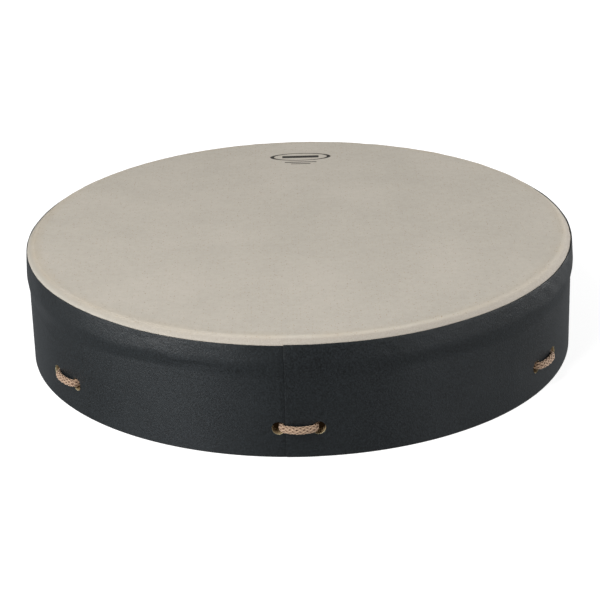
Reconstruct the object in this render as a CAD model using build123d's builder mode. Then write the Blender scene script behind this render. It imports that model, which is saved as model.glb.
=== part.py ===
from build123d import *
from math import cos, radians, sin, tan
import os

# A frame drum: a hoop shell of pressed wood fibre, a bonded head over its bearing edge, a cover
# wrapped round it, and one rope laced through six pairs of holes to a hand ring at the centre.
# Millimetres. +Z is up, through the head, and the drum stands on its open edge at Z = 0.
# A bearing is an angle about Z, counted from the front (-Y) towards +X.
os.makedirs("parts", exist_ok=True)

# Shell
shell_outer = 204.2
shell_wall = 7.0
shell_top = 88.3
foot_round = 0.8
crest_radius = 199.4  # where the flat of the head turns down
crest_round = 1.0
inner_round = 1.5
shoulder_slope = 42  # degrees below level, from the crest out to the shell's side
shoulder_round = 2.0

# Head: a film disc, and a fibre face that runs over the edge and down a collar
film_thick = 0.25
film_margin = 0.5
face_thick = 0.35
collar_foot = 66.0

# Band that holds the collar, hidden under the cover
band_foot = 69.0
band_top = 77.0
band_gap = 0.05
band_thick = 0.7

# Cover, a strip wrapped round the shell with its ends meeting at one seam
cover_thick = 0.8
cover_foot = 0.5
swell_foot = 54.0  # the cover leaves the shell here to pass over the band
swell = [(1.3, 66.5), (1.55, 73.0), (1.25, 80.0), (0.2, 84.75)]  # out from the shell, height
cover_lip = (-0.55, 1)
seam_bearing = -3.5
seam_width = 0.3

# Rope holes, in pairs marked out by hand, so not quite evenly
pair_bearings = [-56, -1, 59, 120, 181, 242]
hole_radius = 4.75
hole_spread = 3.85  # degrees from the middle of a pair to each of its holes
web_height = 22.4

# Rope and hand ring
rope_radius = 3.1
ring_radius = 36.0
wire_radius = 2.5
ring_clearance = 0.05
wrap_radius = wire_radius + 2 * rope_radius
bight_out = 208.1  # centreline of the rope where it comes out of a hole and bends
bight_half = 12.3
bight_bend = 3.2
bight_crown = 209.2  # centreline halfway between the holes, where the rope bows out
bight_droop = 0.3
bight_sweep = 50.0
turn_out = 198.0  # where a spoke turns into its hole
turn_half = 12.0
turn_bend = 25.0
spoke_start = 8.0  # length of spoke that stays with the bight
spoke_foot_half = 3.4  # half the spacing of a pair of spokes at the ring
spoke_foot_lift = 5.2  # one spoke passes over the ring and the other under it
wrap_gap = 0.5  # degrees between the end of a wrap and the middle of a pair
tail_bearing = 150.5
tail_tip = 62.0
tail_drop = 3.0
tail_round = 2.4

shell_inner = shell_outer - shell_wall


def at(bearing, along, out, height):
    """The point that is out from the axis at a bearing, and along from there at right angles."""
    turn = radians(bearing)
    return Vector(
        out * sin(turn) + along * cos(turn),
        along * sin(turn) - out * cos(turn),
        height,
    )


def facing(bearing, out, height):
    """The plane that faces straight out from the axis at a bearing."""
    return Plane(
        origin=at(bearing, 0, out, height),
        x_dir=at(bearing, 1, 0, 0),
        z_dir=at(bearing, 0, 1, 0),
    )


def upright(bearing):
    """The upright plane through the axis, at the height of the web, with X out at a bearing."""
    return Plane(
        origin=(0, 0, web_height),
        x_dir=at(bearing, 0, 1, 0),
        z_dir=at(bearing, -1, 0, 0),
    )


def edge_corners(gap):
    """The crest and shoulder of a skin that lies gap away from the shell's bearing edge."""
    shoulder_height = shell_top - (shell_outer - crest_radius) * tan(radians(shoulder_slope))
    return (
        (crest_radius + gap * tan(radians(shoulder_slope / 2)), shell_top + gap),
        (shell_outer + gap, shoulder_height + gap * tan(radians(45 - shoulder_slope / 2))),
    )


def skin_line(gap, foot):
    """The line from the axis over the bearing edge and down to foot, gap away from the shell."""
    crest, shoulder = edge_corners(gap)
    return FilletPolyline(
        (0, crest[1]),
        crest,
        shoulder,
        (shoulder[0], foot),
        radius=[crest_round + gap, shoulder_round + gap],
    )


def cover_side(radius):
    """One side of the cover's section: up the shell, then out over the collar band."""
    wall = Line((radius, cover_foot), (radius, swell_foot))
    swelling = Spline(
        wall @ 1,
        *[(radius + out, height) for out, height in swell],
        tangents=[(0, 1), cover_lip],
    )
    return wall, swelling


hole_bearings = [
    bearing + side * hole_spread for bearing in pair_bearings for side in (-1, 1)
]
hole_planes = [facing(bearing, shell_inner - 1, web_height) for bearing in hole_bearings]
hole_depth = shell_wall + 4

with BuildPart() as shell:
    with BuildSketch(Plane.XZ):
        with BuildLine():
            FilletPolyline(
                (shell_inner, 0),
                (shell_outer, 0),
                edge_corners(0)[1],
                edge_corners(0)[0],
                (shell_inner, shell_top),
                radius=[foot_round, foot_round, shoulder_round, crest_round, inner_round],
                close=True,
            )
        make_face()
    revolve(axis=Axis.Z)
    with BuildSketch(*hole_planes):
        Circle(hole_radius)
    extrude(amount=hole_depth, mode=Mode.SUBTRACT)
shell.part.label = "shell"
export_step(shell.part, "parts/shell.step")

with BuildPart() as head_film:
    with BuildSketch(Plane.XY.offset(shell_top)):
        Circle(crest_radius - film_margin)
    extrude(amount=film_thick)
head_film.part.label = "head_film"
export_step(head_film.part, "parts/head_film.step")

with BuildPart() as head_face:
    with BuildSketch(Plane.XZ):
        with BuildLine():
            under = skin_line(film_thick, collar_foot)
            over = skin_line(film_thick + face_thick, collar_foot)
            Line(under @ 0, over @ 0)
            Line(under @ 1, over @ 1)
        make_face()
    revolve(axis=Axis.Z)
head_face.part.label = "head_face"
export_step(head_face.part, "parts/head_face.step")

collar_outer = shell_outer + film_thick + face_thick
with BuildPart() as collar_band:
    with BuildSketch(Plane.XY.offset(band_foot)):
        Circle(collar_outer + band_gap + band_thick)
        Circle(collar_outer + band_gap, mode=Mode.SUBTRACT)
    extrude(amount=band_top - band_foot)
collar_band.part.label = "collar_band"
export_step(collar_band.part, "parts/collar_band.step")

with BuildPart() as cover:
    with BuildSketch(Plane.XZ):
        with BuildLine():
            inside = cover_side(shell_outer)
            outside = cover_side(shell_outer + cover_thick)
            Line(inside[0] @ 0, outside[0] @ 0)
            Line(inside[1] @ 1, outside[1] @ 1)
        make_face()
    revolve(axis=Axis.Z)
    with BuildSketch(*hole_planes):
        Circle(hole_radius)
    extrude(amount=hole_depth, mode=Mode.SUBTRACT)
    with BuildSketch(facing(seam_bearing, shell_inner, 0)):
        Rectangle(seam_width, 2 * shell_top, align=(Align.CENTER, Align.CENTER))
    extrude(amount=hole_depth, mode=Mode.SUBTRACT)
cover.part.label = "cover"
export_step(cover.part, "parts/cover.step")

with BuildPart() as hand_ring:
    with BuildSketch(upright(0)):
        with Locations((ring_radius, 0)):
            Circle(wire_radius)
    revolve(axis=Axis.Z)
hand_ring.part.label = "hand_ring"
export_step(hand_ring.part, "parts/hand_ring.step")

with BuildPart() as wound_ring:
    with BuildSketch(upright(0)):
        with Locations((ring_radius, 0)):
            Circle(wrap_radius)
    revolve(axis=Axis.Z)


def spoke_line(bearing, side):
    """A spoke's centreline: where it turns into its hole, and where it meets the ring."""
    return (
        at(bearing, side * turn_half, turn_out, web_height),
        at(
            bearing,
            side * spoke_foot_half,
            ring_radius,
            web_height - side * spoke_foot_lift,
        ),
    )


def split_point(bearing, side):
    """Where the spoke's solid meets the bight's."""
    turn, foot = spoke_line(bearing, side)
    return turn + (foot - turn).normalized() * spoke_start


for number, bearing in enumerate(pair_bearings, 1):
    with BuildPart() as rope_bight:
        with BuildLine() as route:
            FilletPolyline(
                split_point(bearing, -1),
                spoke_line(bearing, -1)[0],
                at(bearing, -bight_half, bight_out, web_height),
                at(bearing, 0, bight_crown, web_height - bight_droop),
                at(bearing, bight_half, bight_out, web_height),
                spoke_line(bearing, 1)[0],
                split_point(bearing, 1),
                radius=[turn_bend, bight_bend, bight_sweep, bight_bend, turn_bend],
            )
        with BuildSketch(Plane(origin=route.line @ 0, z_dir=route.line % 0)):
            Circle(rope_radius)
        sweep()
    rope_bight.part.label = f"rope_bight_{number}"
    export_step(rope_bight.part, f"parts/rope_bight_{number}.step")

    for name, side in (("over", -1), ("under", 1)):
        start = split_point(bearing, side)
        run = spoke_line(bearing, side)[1] - start
        with BuildPart() as rope_spoke:
            with BuildSketch(Plane(origin=start, z_dir=run)):
                Circle(rope_radius)
            extrude(amount=run.length)
            add(wound_ring.part, mode=Mode.SUBTRACT)
        rope_spoke.part.label = f"rope_spoke_{name}_{number}"
        export_step(rope_spoke.part, f"parts/rope_spoke_{name}_{number}.step")

    next_bearing = [*pair_bearings[1:], pair_bearings[0] + 360][number - 1]
    with BuildPart() as rope_wrap:
        with BuildSketch(upright(bearing + wrap_gap)):
            with Locations((ring_radius, 0)):
                Circle(wrap_radius)
                Circle(wire_radius + ring_clearance, mode=Mode.SUBTRACT)
        revolve(axis=Axis.Z, revolution_arc=next_bearing - bearing - 2 * wrap_gap)
    rope_wrap.part.label = f"rope_wrap_{number}"
    export_step(rope_wrap.part, f"parts/rope_wrap_{number}.step")

tail_start = at(tail_bearing, 0, ring_radius, web_height)
tail_run = at(tail_bearing, 0, tail_tip, web_height - tail_drop) - tail_start
with BuildPart() as rope_tail:
    with BuildSketch(Plane(origin=tail_start, z_dir=tail_run)):
        Circle(rope_radius)
    extrude(amount=tail_run.length)
    fillet(rope_tail.edges().group_by(Axis(tail_start, tail_run))[-1], tail_round)
    add(wound_ring.part, mode=Mode.SUBTRACT)
rope_tail.part.label = "rope_tail"
export_step(rope_tail.part, "parts/rope_tail.step")
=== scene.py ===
import math

import bmesh
import bpy
import numpy as np
from mathutils import Matrix, Vector


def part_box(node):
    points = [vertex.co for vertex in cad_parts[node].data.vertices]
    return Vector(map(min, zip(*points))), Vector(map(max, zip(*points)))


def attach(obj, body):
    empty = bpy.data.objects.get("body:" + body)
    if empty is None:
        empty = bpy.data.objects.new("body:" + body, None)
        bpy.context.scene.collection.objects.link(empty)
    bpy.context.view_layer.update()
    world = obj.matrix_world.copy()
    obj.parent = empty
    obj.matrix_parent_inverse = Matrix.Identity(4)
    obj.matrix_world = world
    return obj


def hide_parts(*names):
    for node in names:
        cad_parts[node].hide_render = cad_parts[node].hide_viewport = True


# A frame drum: head, wrapped cover, raw shell and one braided rope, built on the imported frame.
# Metres, +Z up through the head. A bearing is an angle about Z from the front (-Y) towards +X.
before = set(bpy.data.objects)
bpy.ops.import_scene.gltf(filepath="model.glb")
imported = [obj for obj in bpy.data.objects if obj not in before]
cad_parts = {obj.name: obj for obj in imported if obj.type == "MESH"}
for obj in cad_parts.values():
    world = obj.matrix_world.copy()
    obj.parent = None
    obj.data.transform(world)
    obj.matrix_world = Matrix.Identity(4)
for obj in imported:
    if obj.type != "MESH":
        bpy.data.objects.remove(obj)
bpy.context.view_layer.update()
MM = 0.001

# Sizes from the frame
SHELL_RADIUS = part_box("shell")[1].x
HEAD_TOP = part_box("head_face")[1].z
COLLAR_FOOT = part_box("head_face")[0].z
COVER_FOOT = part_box("cover")[0].z
COVER_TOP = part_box("cover")[1].z
RING_LOW, RING_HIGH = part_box("hand_ring")
WIRE_RADIUS = (RING_HIGH.z - RING_LOW.z) / 2
RING_RADIUS = RING_HIGH.x - WIRE_RADIUS
WEB_HEIGHT = (RING_HIGH.z + RING_LOW.z) / 2

# Sizes shared with the CAD model
FACE_THICK = 0.35 * MM
SHOULDER_SLOPE = math.radians(42)
COVER_THICK = 0.8 * MM
SEAM_BEARING = -3.5
PAIR_BEARINGS = [-56, -1, 59, 120, 181, 242]
HOLE_RADIUS = 4.75 * MM
HOLE_SPREAD = 3.85  # degrees from the middle of a pair to each of its holes
ROPE_RADIUS = 3.1 * MM

# The head's crest and shoulder, a little rounder and further out than in the CAD model
FACE_GAP = 0.6 * MM  # from the shell's side to the outside of the head's collar
CREST_RADIUS = 199.63 * MM
CREST_ROUND = 1.6 * MM
CREST_WORN = 5.0 * MM  # the outside of the crest, rounder than its inside
SHOULDER_ROUND = 2.6 * MM
# The crest stands further out again at the front left: how far, where, over how many degrees
CREST_SHIFT = 1.5 * MM
CREST_SHIFT_BEARING = 296
CREST_SHIFT_WIDTH = 40

# Wandering waves round the drum: fewest and most cycles, seed, and size in millimetres, except
# for patch, which is a share
WAVES = {
    "crest_out": (3, 60, 11, 0.10),
    "crest_up": (5, 90, 12, 0.06),
    "foot": (6, 24, 21, 0.4),
    "ridge": (6, 30, 22, 0.3),
    "stand": (5, 26, 23, 0.06),
    "drape": (12, 44, 24, 0.07),
    "hoop": (2, 9, 25, 0.05),
    "patch": (3, 12, 26, 0.5),
    "pucker": (26, 90, 27, 0.055),
    "top_edge": (2, 14, 31, 0.07),
}

UP = (0.0, 0.0, 1.0)
BLACK = (0.0, 0.0, 0.0, 1.0)
WHITE = (1.0, 1.0, 1.0, 1.0)


# ---------------------------------------------------------------- helpers


def srgb(red, green, blue):
    """A shader colour from the usual 0 to 255 values."""
    def linear(value):
        share = value / 255
        return share / 12.92 if share <= 0.04045 else ((share + 0.055) / 1.055) ** 2.4
    return (linear(red), linear(green), linear(blue), 1.0)


def at(bearing, along, out, height):
    """The point out from the axis at a bearing, and along from there at right angles."""
    turn = math.radians(bearing)
    return Vector((
        out * math.sin(turn) + along * math.cos(turn),
        along * math.sin(turn) - out * math.cos(turn),
        height,
    ))


def wave(name, bearings):
    """One of the waves round the drum, in millimetres, made of whole numbers of cycles."""
    lowest, highest, seed, size = WAVES[name]
    rng = np.random.default_rng(seed)
    cycles = np.arange(lowest, highest + 1)
    phases = rng.uniform(0, 2 * math.pi, len(cycles))
    weights = rng.uniform(0.4, 1.0, len(cycles))
    turns = np.radians(np.asarray(bearings, float))
    waves = np.cos(cycles[:, None] * turns[None] + phases[:, None])
    return (weights[:, None] * waves).sum(0) / math.sqrt((weights**2).sum() / 2) * size


def smooth(share):
    """An even step from 0 to 1."""
    share = np.clip(share, 0, 1)
    return share * share * (3 - 2 * share)


def unit(vectors):
    """Each row of an array as a vector of length 1."""
    return vectors / np.linalg.norm(vectors, axis=1)[:, None]


def around(radius, bearings, heights):
    """Points at a radius and height for each bearing, as an array."""
    turns = np.radians(bearings)
    return np.stack([radius * np.sin(turns), -radius * np.cos(turns), heights], axis=-1)


def mesh_object(name, points, faces, material, shade=True):
    """A mesh object from points and faces."""
    data = bpy.data.meshes.new(name)
    data.from_pydata([tuple(p) for p in points], [], faces)
    data.validate()
    data.update()
    if shade:
        data.shade_smooth()
    data.materials.append(material)
    piece = bpy.data.objects.new(name, data)
    bpy.context.scene.collection.objects.link(piece)
    return piece


def flat_sheet(name, half_x, half_y, material):
    """A plain level rectangle."""
    near = [(-half_x, -half_y, 0), (half_x, -half_y, 0)]
    far = [(half_x, half_y, 0), (-half_x, half_y, 0)]
    return mesh_object(name, near + far, [(0, 1, 2, 3)], material, shade=False)


def finish_piece(piece, slot, *nodes):
    """Rides on the drum and stands for CAD nodes, which it hides; slot is not used."""
    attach(piece, "root")
    if nodes:
        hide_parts(*nodes)


# ---------------------------------------------------------------- materials


class Surface:
    """A material with one Principled shader, and short ways to add nodes to it."""

    def __init__(self, name, **sockets):
        self.material = bpy.data.materials.new(name)
        self.material.use_nodes = True
        self.tree = self.material.node_tree
        self.shader = self.tree.nodes["Principled BSDF"]
        for socket, value in sockets.items():
            self.shader.inputs[socket.replace("_", " ")].default_value = value
        self.place = self.tree.nodes.new("ShaderNodeTexCoord").outputs["Object"]

    def add(self, kind, inputs, **settings):
        """A node with its inputs set or linked."""
        made = self.tree.nodes.new("ShaderNode" + kind)
        for name, value in settings.items():
            setattr(made, name, value)
        for socket, value in inputs.items():
            if isinstance(value, bpy.types.NodeSocket):
                self.tree.links.new(value, made.inputs[socket])
            else:
                made.inputs[socket].default_value = value
        return made

    def noise(self, size, detail=3.0, roughness=0.55):
        """Noise whose blotches are about size metres across."""
        inputs = {"Scale": 1 / size, "Detail": detail, "Roughness": roughness}
        return self.add("TexNoise", {"Vector": self.place, **inputs}).outputs["Fac"]

    def maths(self, operation, first, second=0.0):
        """One sum."""
        return self.add("Math", {0: first, 1: second}, operation=operation).outputs[0]

    def times(self, first, second):
        """A product."""
        return self.maths("MULTIPLY", first, second)

    def squares(self, x, y):
        """The sum of two squares."""
        return self.maths("ADD", self.times(x, x), self.times(y, y))

    def ramp(self, value, low, high, start=0.0, end=1.0):
        """value from low to high, as start to end."""
        made = self.add(
            "MapRange",
            {"Value": value, "From Min": low, "From Max": high, "To Min": start, "To Max": end},
        )
        return made.outputs["Result"]

    def mix(self, share, first, second):
        """A colour between two."""
        inputs = {"Factor": share, 6: first, 7: second}
        return self.add("Mix", inputs, data_type="RGBA").outputs[2]

    def split(self):
        """The place's X, Y and Z."""
        return self.add("SeparateXYZ", {"Vector": self.place}).outputs

    def use(self, socket, value):
        """Links value to the shader."""
        self.tree.links.new(value, self.shader.inputs[socket])

    def see_through(self, share):
        """Shows what is behind where share is 1."""
        clear = self.add("BsdfTransparent", {}).outputs["BSDF"]
        both = self.add("MixShader", {0: share, 1: self.shader.outputs["BSDF"], 2: clear})
        self.tree.links.new(both.outputs[0], self.tree.nodes["Material Output"].inputs["Surface"])

    def bump(self, height, depth):
        """Relief of about depth metres."""
        made = self.add("Bump", {"Height": height, "Distance": depth, "Strength": 1.0})
        self.use("Normal", made.outputs["Normal"])


# Flecks in the head: cell size, size within the cell, share of cells left plain, tone
FLECKS = [
    (2.6 * MM, 0.15, 0.72, srgb(150, 132, 106)),
    (4.2 * MM, 0.11, 0.78, srgb(134, 110, 80)),
    (9 * MM, 0.05, 0.5, srgb(92, 72, 52)),
]
FLECK_STRENGTH = 0.7
# The printed mark: its middle, its oval's half sizes, where the oval's line starts as a share,
# and its bars, each with its distance behind the middle and its half sizes
MARK_X = 3 * MM
MARK_Y = 161 * MM
MARK_HALF = (25 * MM, 9 * MM)
MARK_LINE = 0.76
MARK_BARS = [
    (0.0, 15 * MM, 2.6 * MM),
    (-13 * MM, 13 * MM, 0.8 * MM),
    (-17 * MM, 8 * MM, 0.7 * MM),
]
MARK_STRENGTH = 0.95


def head_material():
    """Warm grey fibre with small brown flecks, a printed mark near the rear, and a stained rim
    with painted shade on its slope and a painted highlight along its crest.
    """
    s = Surface("head_fibre", Roughness=0.85, Specular_IOR_Level=0.25)
    x, y, _ = s.split()
    cloud = s.ramp(s.noise(60 * MM, 2.0), 0.3, 0.7)
    felt = s.ramp(s.noise(1.1 * MM, 4.0, 0.7), 0.3, 0.7)
    blotch = s.ramp(s.noise(4.5 * MM, 2.0), 0.3, 0.7)
    light = s.mix(cloud, srgb(172, 166, 155), srgb(178, 171, 161))
    shade = s.mix(cloud, srgb(160, 154, 144), srgb(166, 160, 149))
    mottle = s.maths("ADD", s.times(felt, 0.6), s.times(blotch, 0.4))
    colour, slope = add_rim(s, x, y, s.mix(mottle, shade, light), felt)
    colour = add_flecks(s, colour, slope)
    colour = s.mix(s.times(mark_mask(s, x, y), MARK_STRENGTH), colour, srgb(28, 26, 25))
    s.use("Base Color", colour)
    nap = s.maths("ADD", s.noise(0.5 * MM, 3.0, 0.7), s.times(s.noise(3 * MM), 0.6))
    s.bump(nap, 0.12 * MM)
    return s.material


def add_rim(s, x, y, colour, felt):
    """Adds painted shade on the slope, a painted highlight along the crest, the stain inside it,
    and more painted shade on the left of the slope, lighter towards the cover's edge.
    """
    turn = math.radians(CREST_SHIFT_BEARING)
    near = s.maths("ADD", s.times(x, math.sin(turn)), s.times(y, -math.cos(turn)))
    shift = s.ramp(near, 0.5 * CREST_RADIUS, CREST_RADIUS, 0.0, CREST_SHIFT)
    reach = s.maths("SUBTRACT", s.maths("SQRT", s.squares(x, y)), shift)
    past = s.maths("SUBTRACT", reach, CREST_RADIUS)
    slope = s.ramp(past, -1 * MM, 2 * MM)
    # Painted shade: the slope is coloured darker than the face all round.
    colour = s.mix(slope, colour, s.mix(felt, srgb(145, 139, 130), srgb(161, 154, 144)))
    # Painted highlight: a pale line along the crest, left out at the front left and fainter on the
    # right.
    line = s.times(s.ramp(past, -3 * MM, -0.6 * MM), s.ramp(past, 1.6 * MM, 0.2 * MM))
    line = s.times(line, s.ramp(near, 0.5 * CREST_RADIUS, 0.8 * CREST_RADIUS, 0.42, 0.0))
    line = s.times(line, s.ramp(x, 70 * MM, 170 * MM, 1.0, 0.2))
    colour = s.mix(line, colour, srgb(190, 183, 171))
    rim = s.times(s.ramp(past, -9 * MM, -1 * MM), s.ramp(past, 3 * MM, 0.0))
    grubby = s.ramp(x, -150 * MM, -195 * MM, 0.0, 0.2)
    stain = s.maths("ADD", s.ramp(s.noise(30 * MM, 3.0), 0.35, 0.75, 0.05, 0.45), grubby)
    colour = s.mix(s.times(rim, stain), colour, srgb(163, 151, 132))
    # Painted shade on the left of the slope, lighter towards the cover's edge, as the rounder
    # shoulder there would be lit.
    left_slope_shade = s.times(slope, s.ramp(x, -50 * MM, -170 * MM, 0.0, 0.85))
    shoulder_shade_ramp = s.ramp(past, 1 * MM, 4.5 * MM)
    colour = s.mix(left_slope_shade, colour, s.mix(shoulder_shade_ramp, srgb(131, 126, 116), srgb(148, 144, 136)))
    return colour, slope


def add_flecks(s, colour, slope):
    """Adds the flecks, which are fainter on the slope."""
    for cell, spot, share, tone in FLECKS:
        found = s.add(
            "TexVoronoi",
            {"Vector": s.place, "Scale": 1 / cell, "Randomness": 1.0},
            voronoi_dimensions="2D",
        )
        chosen = s.add("SeparateColor", {"Color": found.outputs["Color"]}).outputs["Red"]
        fleck = s.ramp(found.outputs["Distance"], spot, spot * 0.4)
        fleck = s.times(fleck, s.maths("GREATER_THAN", chosen, share))
        fleck = s.times(fleck, s.ramp(slope, 0.0, 1.0, 1.0, 0.35))
        colour = s.mix(s.times(fleck, FLECK_STRENGTH), colour, tone)
    return colour


def mark_mask(s, x, y):
    """A plain printed mark: an oval line round a bar, with two short bars in front of it."""
    off_x = s.maths("SUBTRACT", x, MARK_X)
    off_y = s.maths("SUBTRACT", y, MARK_Y)
    half_x, half_y = MARK_HALF
    ring = s.squares(s.maths("DIVIDE", off_x, half_x), s.maths("DIVIDE", off_y, half_y))
    mask = s.times(s.maths("LESS_THAN", ring, 1.0), s.maths("GREATER_THAN", ring, MARK_LINE))
    for behind, half_wide, half_deep in MARK_BARS:
        wide = s.maths("LESS_THAN", s.maths("ABSOLUTE", off_x), half_wide)
        off_bar = s.maths("ABSOLUTE", s.maths("SUBTRACT", off_y, behind))
        bar = s.times(wide, s.maths("LESS_THAN", off_bar, half_deep))
        mask = s.maths("MAXIMUM", mask, bar)
    return mask


def cover_material():
    """Charcoal coated fabric with a fine pebble grain."""
    s = Surface("charcoal_cover", Specular_IOR_Level=0.5)
    grain = s.noise(1.3 * MM, 3.0, 0.65)
    cloud = s.noise(50 * MM, 3.0)
    colour = s.mix(s.ramp(grain, 0.35, 0.65), srgb(3, 5, 6), srgb(23, 28, 31))
    colour = s.mix(s.ramp(cloud, 0.35, 0.7, 0.0, 0.35), colour, srgb(20, 25, 28))
    s.use("Base Color", colour)
    s.use("Roughness", s.ramp(cloud, 0.3, 0.7, 0.37, 0.43))
    s.bump(grain, 0.25 * MM)
    return s.material


def cut_edge_material():
    """The pale backing that shows where the cover is cut."""
    s = Surface("cut_edge", Roughness=0.85, Specular_IOR_Level=0.2)
    s.use("Base Color", s.mix(s.noise(0.6 * MM), srgb(120, 110, 84), srgb(192, 184, 152)))
    s.bump(s.noise(0.4 * MM), 0.1 * MM)
    return s.material


def fibre_material():
    """The shell's raw pressed wood fibre."""
    s = Surface("raw_fibreboard", Roughness=0.9, Specular_IOR_Level=0.2)
    fibre = s.ramp(s.noise(1.6 * MM, 5.0, 0.75), 0.32, 0.68)
    cloud = s.ramp(s.noise(20 * MM, 3.0), 0.3, 0.7)
    colour = s.mix(fibre, srgb(106, 88, 64), srgb(152, 131, 98))
    colour = s.mix(s.times(cloud, 0.4), colour, srgb(118, 102, 75))
    s.use("Base Color", colour)
    s.bump(s.noise(0.8 * MM, 4.0, 0.7), 0.25 * MM)
    return s.material


def film_material():
    """The hazy film under the head."""
    s = Surface("hazy_film", Specular_IOR_Level=0.45)
    cloud = s.ramp(s.noise(40 * MM, 3.0), 0.3, 0.7)
    s.use("Base Color", s.mix(cloud, srgb(176, 170, 156), srgb(188, 182, 170)))
    s.use("Roughness", s.ramp(s.noise(4 * MM, 3.0), 0.3, 0.7, 0.32, 0.45))
    s.bump(s.noise(1.5 * MM, 3.0), 0.04 * MM)
    return s.material


def band_material():
    """The strip that holds the head's collar."""
    s = Surface("black_band", Roughness=0.6)
    s.use("Base Color", s.mix(s.noise(1 * MM), srgb(20, 20, 20), srgb(34, 34, 34)))
    s.bump(s.noise(0.6 * MM), 0.05 * MM)
    return s.material


def steel_material():
    """Drawn steel wire."""
    s = Surface("drawn_steel", Metallic=1.0)
    s.use("Base Color", s.mix(s.noise(2 * MM), srgb(150, 150, 152), srgb(190, 190, 191)))
    s.use("Roughness", s.ramp(s.noise(0.8 * MM, 4.0), 0.3, 0.7, 0.24, 0.4))
    s.bump(s.noise(0.4 * MM, 3.0), 0.02 * MM)
    return s.material


def rope_material():
    """Tan braided cord, with painted shade darkening it down in its gaps."""
    s = Surface("tan_cord", Roughness=0.8, Specular_IOR_Level=0.2, Sheen_Weight=0.15)
    depth = s.add("Attribute", {}, attribute_name="clear_of_gap_shade").outputs["Fac"]
    fibre = s.ramp(s.noise(0.35 * MM, 3.0, 0.6), 0.3, 0.7)
    bleach = s.ramp(s.noise(12 * MM, 2.0), 0.3, 0.7)
    pale = s.mix(fibre, srgb(117, 93, 73), srgb(165, 143, 122))
    pale = s.mix(s.times(bleach, 0.45), pale, srgb(137, 113, 93))
    # Painted shade: dark brown down in the gaps and over the core, pale out on the strands.
    s.use("Base Color", s.mix(depth, srgb(70, 38, 21), pale))
    s.bump(s.noise(0.3 * MM, 3.0, 0.6), 0.08 * MM)
    return s.material


# How brightly the floor glows near the drum and far from it, and how far out each of them is
FLOOR_GLOW = (0.68, 1.0)
FLOOR_GLOW_REACH = (0.7, 1.8)
# The backdrop's dark part below that height is painted shade, for the drum's inside seen through
# its holes.
BACKDROP_FOOT = -0.05  # the height below which the backdrop is dark


def floor_material():
    """A plain pale floor, which shows only from above, and not under the drum."""
    s = Surface("pale_floor", Roughness=0.95, Specular_IOR_Level=0.0)
    s.shader.inputs["Base Color"].default_value = (0.5, 0.5, 0.5, 1.0)
    s.shader.inputs["Emission Color"].default_value = WHITE
    x, y, _ = s.split()
    reach = s.maths("SQRT", s.squares(x, y))
    s.use("Emission Strength", s.ramp(reach, *FLOOR_GLOW_REACH, *FLOOR_GLOW))
    under = s.maths("LESS_THAN", reach, SHELL_RADIUS)
    clear = s.maths("MAXIMUM", s.add("NewGeometry", {}).outputs["Backfacing"], under)
    s.see_through(clear)
    return s.material


def backdrop_material():
    """White, but painted dark brown shade below the floor, where it shows only through the drum's
    holes as the drum's shaded inside.
    """
    s = Surface("backdrop", Roughness=1.0, Specular_IOR_Level=0.0, Emission_Strength=1.0)
    s.shader.inputs["Base Color"].default_value = BLACK
    above = s.maths("GREATER_THAN", s.split()[2], BACKDROP_FOOT)
    # Painted shade: dark brown below the floor, seen through the holes as the drum's inside.
    s.use("Emission Color", s.mix(above, srgb(24, 15, 7), WHITE))
    return s.material


# ---------------------------------------------------------------- head

HEAD_STEPS = 720  # round the drum
FLAT_REACHES = [20, 50, 90, 130, 160, 180, 190, 195]  # rings of the flat top, in millimetres
CREST_STEPS = 7
SHOULDER_STEPS = 8
COLLAR_RINGS = (6 * MM, 12 * MM)  # how far below the shoulder
# Where the crest's waves start, and over how much further they grow to their full size
WAVES_OUT = (185 * MM, 14 * MM)
WAVES_UP = (83 * MM, 3 * MM)


def arc(centre, radius, start, end, count):
    """Points of an arc in a section, between two angles in degrees."""
    turns = np.radians(np.linspace(start, end, count))
    return [(centre[0] + radius * math.cos(t), centre[1] + radius * math.sin(t)) for t in turns]


def head_section(inset):
    """The head's section from near the axis to the collar's foot, inset from its outer side."""
    slope = math.degrees(SHOULDER_SLOPE)
    side = SHELL_RADIUS + FACE_GAP - inset
    top = HEAD_TOP - inset
    half = math.tan(SHOULDER_SLOPE / 2)
    other = math.tan(math.pi / 4 - SHOULDER_SLOPE / 2)
    crest = CREST_RADIUS - inset * half
    fall = (SHELL_RADIUS + FACE_GAP - CREST_RADIUS) * math.tan(SHOULDER_SLOPE)
    shoulder = HEAD_TOP - fall - inset * other
    crest_round = CREST_ROUND - inset if inset else CREST_WORN
    crest_centre = (crest - crest_round * half, top - crest_round)
    shoulder_round = SHOULDER_ROUND - inset
    shoulder_centre = (side - shoulder_round, shoulder - shoulder_round * other)
    points = [(reach * MM, top) for reach in FLAT_REACHES]
    points += arc(crest_centre, crest_round, 90, 90 - slope, CREST_STEPS)
    points += arc(shoulder_centre, shoulder_round, 90 - slope, 0, SHOULDER_STEPS)
    points += [(side, shoulder - drop) for drop in COLLAR_RINGS]
    return [*points, (side, COLLAR_FOOT)]


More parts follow.
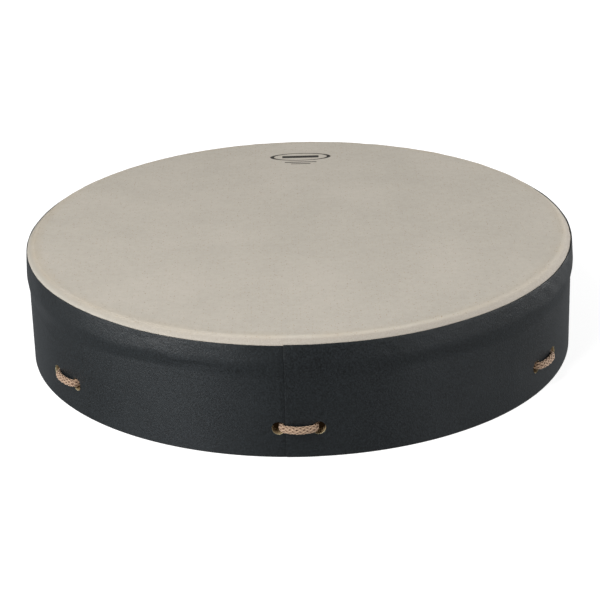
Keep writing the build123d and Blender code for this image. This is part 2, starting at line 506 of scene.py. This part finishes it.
def build_head(material):
    """The fibre face: flat, with a soft wandering crest, a slope and a collar under the cover."""
    count = HEAD_STEPS
    bearings = np.linspace(0, 360, count, endpoint=False)
    off = (bearings - CREST_SHIFT_BEARING) / CREST_SHIFT_WIDTH
    wander = wave("crest_out", bearings) * MM + CREST_SHIFT * np.exp(-(off**2))
    puff = wave("crest_up", bearings) * MM
    out_from, out_over = WAVES_OUT
    up_from, up_over = WAVES_UP
    rings = []
    for inset in (0.0, FACE_THICK):
        for reach, height in head_section(inset):
            near = smooth((reach - out_from) / out_over) * smooth((height - up_from) / up_over)
            rings.append(around(reach + wander * near, bearings, height + puff * near))
    per_side = len(rings) // 2
    points = [(0, 0, HEAD_TOP), (0, 0, HEAD_TOP - FACE_THICK)]
    points += [tuple(p) for ring in rings for p in ring]
    faces = []
    step = np.arange(count)
    after = (step + 1) % count

    def ring_start(number):
        return 2 + number * count

    for i, j in zip(step, after):
        faces.append((0, ring_start(0) + i, ring_start(0) + j))
        faces.append((1, ring_start(per_side) + j, ring_start(per_side) + i))
    for k in range(per_side - 1):
        for i, j in zip(step, after):
            a, b = ring_start(k), ring_start(k + 1)
            faces.append((a + i, b + i, b + j, a + j))
            a, b = ring_start(per_side + k), ring_start(per_side + k + 1)
            faces.append((a + j, b + j, b + i, a + i))
    a, b = ring_start(per_side - 1), ring_start(2 * per_side - 1)
    for i, j in zip(step, after):
        faces.append((a + i, b + i, b + j, a + j))
    return mesh_object("head", points, faces, material)


# ---------------------------------------------------------------- cover

OVERLAP = 4.6  # degrees that one end of the strip laps over the other
RAMP = 4.0  # degrees over which the upper end climbs onto the lower one
END_ROUND = 0.12  # degrees over which the upper end's edge is rounded
END_BEVEL = 0.1 * MM
END_DROP = 0.65 * MM  # how much lower the top edge is at the strip's lower end
LAP_TRIM = 1.0 * MM  # how much shorter the lower end is under the lap
LAP_THIN = 0.42 * MM  # thickness of the lower end where it is lapped
# How many degrees before the seam each of those three starts, and over how many it grows
DROP_REACH = (70, 60)
TRIM_REACH = (0.1, 0.3)
THIN_REACH = (0.5, 0.45)
LAP_GAP = 0.02 * MM  # between the cover and what it lies on
SEAM_STEP = 0.26 * MM  # how far the upper end stands above the lower one
SEAM_COLUMNS = 0.15  # degrees from the seam to a column of the mesh on each side of it
COVER_COLUMNS = 840
COVER_ROWS = 58
HOLE_SIDES = 40
PUNCH_REACH = (5 * MM, -3 * MM)  # a hole's punch, from outside the shell's side to within it
SHARP_EDGE = math.radians(40)

# The rest of the cover's shape is in millimetres and degrees.
# Faint creases: bearing, height, length in degrees, rise along it, how far they stand out
CREASES = [
    (-68, 52, 34, -9.0, 0.16),
    (-58, 46, 22, -6.0, 0.08),
    (-33, 61, 26, 3.0, -0.12),
    (-20, 57, 16, -1.5, 0.06),
    (-21, 69.5, 12, 0.8, 0.20),
    (-20, 66.4, 15, 0.6, -0.17),
    (-18, 77.5, 6, 2.5, -0.14),
    (-30, 80.0, 6, 1.5, -0.12),
    (-41, 71.5, 10, -2.0, -0.12),
    (22, 55, 14, 1.0, 0.07),
    (46, 63, 14, 2.0, 0.10),
    (62, 50, 20, 5.0, 0.08),
    (140, 58, 24, 3.0, 0.10),
    (-140, 60, 26, -3.0, 0.10),
]
CREASE_HALF = 1.1  # a crease's half width
# The bulge over the band: bearing, height of its foot, height of its ridge, how far it stands out
BULGE = [
    (-180, 55.0, 68.5, 1.5),
    (-120, 56.5, 67.5, 1.5),
    (-85, 54.5, 67.5, 1.5),
    (-52, 56.0, 70.0, 1.7),
    (-30, 60.0, 72.3, 1.8),
    (-12, 60.0, 72.3, 1.7),
    (4, 58.0, 71.5, 1.3),
    (26, 60.0, 72.3, 1.6),
    (48, 57.0, 70.5, 1.55),
    (85, 54.5, 67.5, 1.5),
    (130, 57.0, 69.0, 1.5),
    (180, 55.0, 68.5, 1.5),
]
LIP_FOOT = 82.5  # height where the cover starts to bend in over the shoulder
LIP_FOOT_OUT = 0.68  # how far it stands out there
LIP_BEND = 0.32  # how far it bends in above that
BACK_CURVE = 1.2  # the powers that curve the way back in from the ridge, and the lip
LIP_CURVE = 1.4
# The puckers over the bulge: how far below the ridge they start and over how much they grow, and
# the height where they end and over how much they fade
PUCKER_FOOT = (3, 5)
PUCKER_TOP = (84.5, 4)
# How the puckers and the drape below them lean: the height they lean about, degrees per millimetre
PUCKER_LEAN = (76, 0.35)
DRAPE_LEAN = (60, -0.25)
REAR_RISE = 0.4 * MM  # how much higher the top edge stands at the rear


def leaning(bearings, level, about, lean):
    """The bearings, moved round as the level climbs."""
    return bearings + (level - about) * lean


def cover_swell(bearings, heights):
    """How far the cover stands out from the shell, over the band and in to its lip."""
    wrapped = (np.asarray(bearings) + 180) % 360 - 180
    level = heights / MM
    keys = np.array(BULGE, float)
    foot, ridge, stand = (
        np.interp(wrapped, keys[:, 0], keys[:, k + 1]) + wave(name, bearings)
        for k, name in enumerate(("foot", "ridge", "stand"))
    )
    rise = smooth((level - foot) / (ridge - foot))
    back = np.clip((level - ridge) / (LIP_FOOT - ridge), 0, 1) ** BACK_CURVE
    bend = np.clip((level - LIP_FOOT) / (COVER_TOP / MM - LIP_FOOT), 0, 1) ** LIP_CURVE
    out = stand * rise - (stand - LIP_FOOT_OUT) * back - LIP_BEND * bend
    below, grow = PUCKER_FOOT
    stop, fade = PUCKER_TOP
    band = smooth((level - ridge + below) / grow) * smooth((stop - level) / fade)
    patch = smooth(wave("patch", bearings) + 0.5)
    out = out + wave("pucker", leaning(wrapped, level, *PUCKER_LEAN)) * band * patch
    out = out + wave("drape", leaning(wrapped, level, *DRAPE_LEAN)) * rise * (1 - band)
    for bearing, height, length, climb, depth in CREASES:
        share = (wrapped - bearing) / length * 2
        line = height + climb * share
        across = np.exp(-(((level - line) / CREASE_HALF) ** 2))
        out = out + depth * across * np.clip(1 - share * share, 0, 1)
    out = out + wave("hoop", bearings) * (1 - rise)
    return out * MM


def towards_seam(bearings, before, over):
    """An even step from 0 to 1 at the strip's lower end."""
    return smooth((bearings - (SEAM_BEARING + 360 - before)) / over)


def build_cover(material, cut_material):
    """A strip wrapped round the shell, lapped at the seam, swollen over the band, with holes."""
    stop = SEAM_BEARING + 360
    extra = [SEAM_BEARING + END_ROUND, stop - SEAM_COLUMNS, stop + SEAM_COLUMNS]
    bearings = np.linspace(SEAM_BEARING, stop + OVERLAP, COVER_COLUMNS)
    bearings = np.unique(np.concatenate([bearings, extra]))
    top = COVER_TOP + wave("top_edge", bearings) * MM
    top = top - END_DROP * towards_seam(bearings, *DROP_REACH)
    top = top + REAR_RISE * np.clip(-np.cos(np.radians(bearings)), 0, 1) ** 2
    top = top - LAP_TRIM * towards_seam(bearings, *TRIM_REACH)
    shares = np.linspace(0, 1, COVER_ROWS)
    over = 1 - smooth((bearings - SEAM_BEARING - OVERLAP) / RAMP)
    under = towards_seam(bearings, *THIN_REACH)
    rounded = 1 - smooth((bearings - SEAM_BEARING) / END_ROUND)
    inner, outer = [], []
    for share in shares:
        heights = COVER_FOOT + (top - COVER_FOOT) * share
        swell = cover_swell(bearings, heights)
        low = swell + LAP_GAP + over * (LAP_THIN + LAP_GAP)
        high = swell + COVER_THICK - under * (COVER_THICK - LAP_THIN)
        high = high + over * SEAM_STEP - rounded * END_BEVEL
        inner.append(around(SHELL_RADIUS + low, bearings, heights))
        outer.append(around(SHELL_RADIUS + high, bearings, heights))
    columns = len(bearings)
    rows = len(shares)
    points = np.concatenate([np.array(outer).reshape(-1, 3), np.array(inner).reshape(-1, 3)])
    shift = rows * columns
    faces = []
    for r in range(rows - 1):
        for c in range(columns - 1):
            a = r * columns + c
            b = a + columns
            faces.append((a, a + 1, b + 1, b))
            faces.append((shift + a, shift + b, shift + b + 1, shift + a + 1))
    for c in range(columns - 1):
        a = (rows - 1) * columns + c
        faces.append((c, shift + c, shift + c + 1, c + 1))
        faces.append((a, a + 1, shift + a + 1, shift + a))
    for r in range(rows - 1):
        a = r * columns
        b = a + columns - 1
        faces.append((a, a + columns, shift + a + columns, shift + a))
        faces.append((b, shift + b, shift + b + columns, b + columns))
    piece = mesh_object("cover_wrap", points, faces, material)
    punch_holes(piece, cut_material)
    return piece


def punch_holes(piece, cut_material):
    """Cuts the rope's holes through a piece, and gives their walls a material."""
    points, faces = [], []
    sides = HOLE_SIDES
    for bearing in PAIR_BEARINGS:
        for hole in (bearing - HOLE_SPREAD, bearing + HOLE_SPREAD):
            first = len(points)
            for past in PUNCH_REACH:
                for turn in np.linspace(0, 2 * math.pi, sides, endpoint=False):
                    along = HOLE_RADIUS * math.cos(turn)
                    height = WEB_HEIGHT + HOLE_RADIUS * math.sin(turn)
                    points.append(at(hole, along, SHELL_RADIUS + past, height))
            faces.append(tuple(first + k for k in range(sides)))
            faces.append(tuple(first + sides + k for k in reversed(range(sides))))
            for k in range(sides):
                n = (k + 1) % sides
                faces.append((first + n, first + k, first + sides + k, first + sides + n))
    punch = mesh_object("hole_punch", points, faces, cut_material, shade=False)
    cut = piece.modifiers.new("holes", "BOOLEAN")
    cut.operation = "DIFFERENCE"
    cut.object = punch
    cut.solver = "EXACT"
    cut.material_mode = "TRANSFER"
    bpy.context.view_layer.update()
    done = piece.evaluated_get(bpy.context.evaluated_depsgraph_get())
    cut_mesh = bpy.data.meshes.new_from_object(done)
    piece.modifiers.clear()
    piece.data = cut_mesh
    bpy.data.objects.remove(punch)
    cut_mesh.set_sharp_from_angle(angle=SHARP_EDGE)


# ---------------------------------------------------------------- rope

# The rope's route at each pair of holes, close to the CAD model's: half spacing, distance out
TURN = (11.2 * MM, 198.0 * MM)
BIGHT_BEND = (11.8 * MM, 205.6 * MM)
BIGHT_SIDE = (7.4 * MM, 207.4 * MM)
BIGHT_CROWNS = [208.1 * MM, 209.3 * MM, 208.2 * MM, 208.5 * MM, 208.7 * MM, 208.3 * MM]
SQUASH = 0.17  # how much the rope is pressed flat against the cover
SQUASH_FROM = 194.0 * MM  # how far out that starts
PINCH = 0.24  # how much more it loses where it is pulled round a hole's edge
PINCH_OUT = 206.2 * MM
PINCH_REACH = 1.3 * MM
SPOKE_FOOT_HALF = 3.4 * MM  # half the spacing of a pair's two spokes at the ring
SPOKE_RUNS = (46 * MM, 118 * MM, 188 * MM)
WIND_RADIUS = WIRE_RADIUS + ROPE_RADIUS
WRAP_PACK = 1.86  # how far apart the turns lie on the ring's inner side, in rope radii
BIGHT_FROM = 192 * MM  # how far out a bight's piece starts
ROPE_STEP = 0.7 * MM
BIGHT_SIDES = 8  # of each strand's mesh, in a bight
WEB_SIDES = 6  # and in the web
TAIL_BEARING = 150.5
# The tail's points: sideways, out from the axis, down
TAIL_POINTS = [
    (0.0, RING_RADIUS + 2 * MM, 0.0),
    (0.3 * MM, RING_RADIUS + 10 * MM, 0.8 * MM),
    (0.0, RING_RADIUS + 18 * MM, 2 * MM),
    (-0.3 * MM, 61.6 * MM, 3 * MM),
]
TAIL_STEP = 0.5 * MM
TIP_LENGTH = 2.4 * MM
TIP_LEAST = 0.03  # the square of the tip's size at its very end
STRANDS = 6  # in each direction
BRAID_PITCH = 27 * MM
BRAID_RADIUS = 2.17 * MM
BRAID_WEAVE = 0.27 * MM
STRAND_HALF = (0.74 * MM, 0.47 * MM)
CORE_RADIUS = 1.88 * MM
CORE_SIDES = 10
# The rope's dark gaps are painted shade.
GAP_REACH = 2.0 * MM  # how far out from the rope's middle its dark gaps come
STRAND_REACH = 2.72 * MM
POINTS_A_TURN = 12


def spoke_points(bearing, side):
    """A spoke's points from the ring out to its hole."""
    turn_half, turn_out = TURN
    points = []
    for out in SPOKE_RUNS:
        share = (out - RING_RADIUS) / (turn_out - RING_RADIUS)
        along = SPOKE_FOOT_HALF + (turn_half - SPOKE_FOOT_HALF) * share
        lift = -side * WIND_RADIUS * (1 - share)
        points.append(at(bearing, side * along, out, WEB_HEIGHT + lift))
    points.append(at(bearing, side * turn_half, turn_out, WEB_HEIGHT))
    return points


def bight_points(bearing, crown):
    """The rope's points outside the shell, between the two holes of a pair."""
    left = [at(bearing, -half, out, WEB_HEIGHT) for half, out in (BIGHT_BEND, BIGHT_SIDE)]
    right = [at(bearing, half, out, WEB_HEIGHT) for half, out in (BIGHT_SIDE, BIGHT_BEND)]
    return [*left, at(bearing, 0, crown, WEB_HEIGHT), *right]


def wrap_points(bearing, next_bearing):
    """The turns round the ring, from under it at one pair to over it at the next."""
    margin = math.degrees(SPOKE_FOOT_HALF / RING_RADIUS)
    span = next_bearing - bearing - 2 * margin
    inner = math.radians(span) * (RING_RADIUS - WIND_RADIUS)
    turns = math.floor(inner / (WRAP_PACK * ROPE_RADIUS) - 0.5) + 0.5
    steps = round(turns * POINTS_A_TURN)
    reach = WIND_RADIUS / math.cos(math.pi / POINTS_A_TURN)
    points = []
    for k in range(steps + 1):
        share = k / steps
        round_wire = math.radians(-90 - 360 * turns * share)
        place = bearing + margin + span * share
        out = RING_RADIUS + reach * math.cos(round_wire)
        points.append(at(place, 0, out, WEB_HEIGHT + reach * math.sin(round_wire)))
    return points


def smooth_line(points):
    """The points of a smooth NURBS line through a route's control points."""
    data = bpy.data.curves.new("route", "CURVE")
    data.dimensions = "3D"
    spline = data.splines.new("NURBS")
    spline.points.add(len(points) - 1)
    for control, point in zip(spline.points, points):
        control.co = (*point, 1.0)
    spline.order_u = 3
    spline.use_endpoint_u = True
    spline.resolution_u = 16
    curve = bpy.data.objects.new("route", data)
    bpy.context.scene.collection.objects.link(curve)
    bpy.context.view_layer.update()
    line = bpy.data.meshes.new_from_object(curve)
    found = np.array([tuple(v.co) for v in line.vertices])
    bpy.data.objects.remove(curve)
    bpy.data.meshes.remove(line)
    return found


def even_steps(line, step):
    """The line again at even steps, with how far along each point is."""
    lengths = np.concatenate([[0], np.cumsum(np.linalg.norm(np.diff(line, axis=0), axis=1))])
    marks = np.linspace(0, lengths[-1], max(int(lengths[-1] / step), 2) + 1)
    return np.stack([np.interp(marks, lengths, line[:, k]) for k in range(3)], axis=1), marks


def frames_along(line):
    """Two directions across the line at each point, carried along it without twist."""
    ahead = unit(np.gradient(line, axis=0))
    first = np.zeros_like(line)
    first[:1] = unit(np.cross(ahead[:1], UP))
    for k in range(1, len(line)):
        carried = first[k - 1] - ahead[k] * (first[k - 1] @ ahead[k])
        first[k] = carried / np.linalg.norm(carried)
    return first, np.cross(ahead, first)


def tube(line, across, up, sides, first):
    """Points and faces of a closed tube, whose half widths are the lengths of across and up."""
    turns = np.linspace(0, 2 * math.pi, sides, endpoint=False)
    rings = (
        line[:, None]
        + across[:, None] * np.cos(turns)[None, :, None]
        + up[:, None] * np.sin(turns)[None, :, None]
    )
    points = rings.reshape(-1, 3)
    faces = []
    for k in range(len(line) - 1):
        a = first + k * sides
        b = a + sides
        for i in range(sides):
            j = (i + 1) % sides
            faces.append((a + i, a + j, b + j, b + i))
    faces.append(tuple(first + i for i in reversed(range(sides))))
    last = first + (len(line) - 1) * sides
    faces.append(tuple(last + i for i in range(sides)))
    return points, faces


def flatten(points, line, squeeze):
    """Presses a rope's points flat across its level direction, in place."""
    sides = len(points) // len(line)
    level = np.repeat(unit(np.cross(np.gradient(line, axis=0), UP)), sides, axis=0)
    off = points - np.repeat(line, sides, axis=0)
    share = np.repeat(squeeze, sides)[:, None]
    points -= level * (off * level).sum(1)[:, None] * (1 - share)


def build_braid(name, line, marks, first, second, sides, material, taper=None, squeeze=None):
    """A braided stretch of rope: twelve strands, six each way, over a core coloured with the gaps'
    full painted shade.
    """
    turns = 2 * math.pi * marks / BRAID_PITCH
    swing = np.cos(STRANDS * turns)
    size = np.ones(len(line)) if taper is None else taper
    all_points, all_faces, clear_of_gap_shade = [], [], []
    count = 0
    for way in (1, -1):
        for k in range(STRANDS):
            angle = way * turns + 2 * math.pi * k / STRANDS
            reach = (BRAID_RADIUS + way * BRAID_WEAVE * swing) * size
            outward = first * np.cos(angle)[:, None] + second * np.sin(angle)[:, None]
            path = line + outward * reach[:, None]
            ahead = unit(np.gradient(path, axis=0))
            wide = unit(np.cross(ahead, outward))
            thick = np.cross(wide, ahead)
            points, faces = tube(
                path,
                wide * STRAND_HALF[0] * size[:, None],
                thick * STRAND_HALF[1] * size[:, None],
                sides,
                count,
            )
            apart = np.linalg.norm(points - np.repeat(line, sides, axis=0), axis=1)
            if squeeze is not None:
                flatten(points, line, squeeze)
            all_points.append(points)
            all_faces += faces
            clear_of_gap_shade.append(np.clip((apart - GAP_REACH) / (STRAND_REACH - GAP_REACH), 0, 1))
            count += len(points)
    core = CORE_RADIUS * size[:, None]
    points, faces = tube(line, first * core, second * core, CORE_SIDES, count)
    if squeeze is not None:
        flatten(points, line, squeeze)
    all_points.append(points)
    all_faces += faces
    # The core takes the full painted shade of the gaps.
    clear_of_gap_shade.append(np.zeros(len(points)))
    piece = mesh_object(name, np.concatenate(all_points), all_faces, material)
    tint = piece.data.attributes.new("clear_of_gap_shade", "FLOAT", "POINT")
    tint.data.foreach_set("value", np.concatenate(clear_of_gap_shade).astype(np.float32))
    return piece


def rope_route():
    """The rope's control points: at each pair of holes a spoke, a bight, a spoke and a wrap."""
    nexts = PAIR_BEARINGS[1:] + [PAIR_BEARINGS[0] + 360]
    route = []
    for bearing, next_bearing, crown in zip(PAIR_BEARINGS, nexts, BIGHT_CROWNS):
        route += spoke_points(bearing, -1)
        route += bight_points(bearing, crown)
        route += reversed(spoke_points(bearing, 1))
        route += wrap_points(bearing, next_bearing)
    return route


def web_nodes(k):
    """The CAD nodes that a stretch of the web stands for, counted from 1 to one past the pairs."""
    nodes = [f"rope_spoke_under_{k - 1}", f"rope_wrap_{k - 1}"] if k > 1 else []
    return nodes + ([f"rope_spoke_over_{k}"] if k <= len(PAIR_BEARINGS) else [])


def build_rope(material):
    """The one rope, in turn as a stretch of its web and a bight outside the shell."""
    line, marks = even_steps(smooth_line(rope_route()), ROPE_STEP)
    first, second = frames_along(line)
    print("rope length", round(float(marks[-1]), 3))
    outs = np.linalg.norm(line[:, :2], axis=1)
    edges = np.flatnonzero(np.diff((outs < BIGHT_FROM).astype(int)))
    cuts = [0, *(int(e) + 1 for e in edges), len(line)]
    for number, (low, high) in enumerate(zip(cuts, cuts[1:])):
        part = slice(low, min(high + 1, len(line)))
        k = number // 2 + 1
        bight = number % 2 == 1
        pinch = None
        if bight:
            near = (outs[part] - PINCH_OUT) / PINCH_REACH
            pressed = SQUASH * smooth((outs[part] - SQUASH_FROM) / (SHELL_RADIUS - SQUASH_FROM))
            pinch = 1 - pressed - PINCH * np.exp(-near * near)
        piece = build_braid(
            f"rope_bight_{k}" if bight else f"rope_web_{k}",
            line[part],
            marks[part],
            first[part],
            second[part],
            BIGHT_SIDES if bight else WEB_SIDES,
            material,
            squeeze=pinch,
        )
        finish_piece(piece, "rope", *([f"rope_bight_{k}"] if bight else web_nodes(k)))


def build_tail(material):
    """The rope's trimmed end, which comes out from under the turns with a melted tip."""
    points = [at(TAIL_BEARING, along, out, WEB_HEIGHT - down) for along, out, down in TAIL_POINTS]
    line, marks = even_steps(smooth_line(points), TAIL_STEP)
    first, second = frames_along(line)
    left = np.clip((marks[-1] - marks) / TIP_LENGTH, 0, 1)
    taper = np.sqrt(np.clip(1 - (1 - left) ** 2, TIP_LEAST, 1))
    piece = build_braid("rope_end", line, marks, first, second, BIGHT_SIDES, material, taper)
    finish_piece(piece, "rope", "rope_tail")


# ---------------------------------------------------------------- stage, lights, camera

AIM = Vector((-0.485, 0, 29.3)) * MM
CAMERA_FAR = 1639.8 * MM
CAMERA_RISE = math.radians(23.27)
CAMERA_ROLL = math.radians(-1.517)
CAMERA_LENS = 128.05
CAMERA_SENSOR = 36


def build_camera():
    """The camera, a little rolled, at the front."""
    data = bpy.data.cameras.new("camera")
    data.lens = CAMERA_LENS
    data.sensor_width = CAMERA_SENSOR
    camera = bpy.data.objects.new("camera", data)
    back = Vector((0, -math.cos(CAMERA_RISE), math.sin(CAMERA_RISE)))
    right = Vector((1, 0, 0))
    up = back.cross(right)
    rolled_right = right * math.cos(CAMERA_ROLL) + up * math.sin(CAMERA_ROLL)
    rolled_up = up * math.cos(CAMERA_ROLL) - right * math.sin(CAMERA_ROLL)
    turn = Matrix((rolled_right, rolled_up, back)).transposed().to_4x4()
    camera.matrix_world = Matrix.Translation(AIM + back * CAMERA_FAR) @ turn
    bpy.context.scene.collection.objects.link(camera)
    bpy.context.scene.camera = camera


# Panels of light round the drum: bearing, watts
PANELS = [(-75, 10.5), (-50, 11.5), (45, 4.5), (75, 5.5), (110, 26)]
PANEL_RISE = 14
PANEL_FAR = 1.7
PANEL_SIZE = (0.6, 0.8)
# Glowing cards below the floor's level, which only glossy rays reach, as if the floor were shiny:
# bearing, strength
CARDS = [(-43, 1.15), (-62, 0.58), (-140, 0.27), (55, 0.65), (140, 0.1)]
CARD_RISE = -22
CARD_SIZE = (0.5, 0.8)
CARD_TONE = (0.93, 0.98, 1.04, 1.0)
KEY_BEARING = -40
KEY_RISE = 45
KEY_WATTS = 43
KEY_FAR = 2.2
KEY_SIZE = (1.0, 0.8)
UNDER_WATTS = 11  # a light below the floor, for the inside of the drum
UNDER_RISE = -90
UNDER_FAR = 1.5
UNDER_SIZE = (0.5, 0.5)
LIGHTS_AIM = Vector((0, 0, 0.05))
AMBIENT = 0.18
BACKDROP_FAR = 7.5
FLOOR_HALF = 7.0


def face_drum(thing, bearing, rise, far):
    """Puts a light or card round the drum, facing it, and hides it from the camera."""
    level = math.cos(math.radians(rise)) * far
    away = at(bearing, 0, level, math.sin(math.radians(rise)) * far)
    thing.location = away + LIGHTS_AIM
    thing.rotation_euler = away.to_track_quat("Z", "Y").to_euler()
    thing.visible_camera = False


def add_panel(bearing, rise, watts, far, size):
    """A soft light that faces the drum."""
    data = bpy.data.lights.new("panel", "AREA")
    data.shape = "RECTANGLE"
    data.size, data.size_y = size
    data.energy = watts
    lamp = bpy.data.objects.new("panel", data)
    face_drum(lamp, bearing, rise, far)
    bpy.context.scene.collection.objects.link(lamp)


def add_card(bearing, strength):
    """A glowing card that shows only in glossy surfaces."""
    s = Surface("card_glow", Roughness=1.0)
    s.shader.inputs["Base Color"].default_value = BLACK
    s.shader.inputs["Emission Color"].default_value = CARD_TONE
    s.shader.inputs["Emission Strength"].default_value = strength
    s.material.cycles.emission_sampling = "NONE"
    wide, deep = CARD_SIZE
    card = flat_sheet("light_card", wide / 2, deep / 2, s.material)
    card.visible_diffuse = False
    face_drum(card, bearing, CARD_RISE, PANEL_FAR)


def add_backdrop():
    """A great dome that only the camera sees."""
    shell = bmesh.new()
    bmesh.ops.create_uvsphere(shell, u_segments=48, v_segments=24, radius=BACKDROP_FAR)
    data = bpy.data.meshes.new("backdrop")
    shell.to_mesh(data)
    shell.free()
    data.materials.append(backdrop_material())
    dome = bpy.data.objects.new("backdrop", data)
    bpy.context.scene.collection.objects.link(dome)
    for kind in ("diffuse", "glossy", "transmission", "volume_scatter", "shadow"):
        setattr(dome, "visible_" + kind, False)
    data.materials[0].cycles.emission_sampling = "NONE"


def build_stage():
    """A pale floor and backdrop, and plain soft lights."""
    floor = flat_sheet("floor", FLOOR_HALF, FLOOR_HALF, floor_material())
    floor.visible_glossy = False
    add_backdrop()
    add_panel(KEY_BEARING, KEY_RISE, KEY_WATTS, KEY_FAR, KEY_SIZE)
    add_panel(0, UNDER_RISE, UNDER_WATTS, UNDER_FAR, UNDER_SIZE)
    for bearing, watts in PANELS:
        add_panel(bearing, PANEL_RISE, watts, PANEL_FAR, PANEL_SIZE)
    for bearing, strength in CARDS:
        add_card(bearing, strength)
    world = bpy.data.worlds.new("surround")
    world.use_nodes = True
    background = world.node_tree.nodes["Background"]
    background.inputs["Color"].default_value = WHITE
    background.inputs["Strength"].default_value = AMBIENT
    bpy.context.scene.world = world
    bpy.context.scene.view_settings.view_transform = "Standard"


# ---------------------------------------------------------------- the drum

build_camera()
build_stage()

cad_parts["shell"].material_slots[0].material = fibre_material()
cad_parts["head_film"].material_slots[0].material = film_material()
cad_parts["collar_band"].material_slots[0].material = band_material()
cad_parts["hand_ring"].material_slots[0].material = steel_material()

head = build_head(head_material())
finish_piece(head, "head_face", "head_face")
cover = build_cover(cover_material(), cut_edge_material())
finish_piece(cover, "cover", "cover")
cord = rope_material()
build_rope(cord)
build_tail(cord)
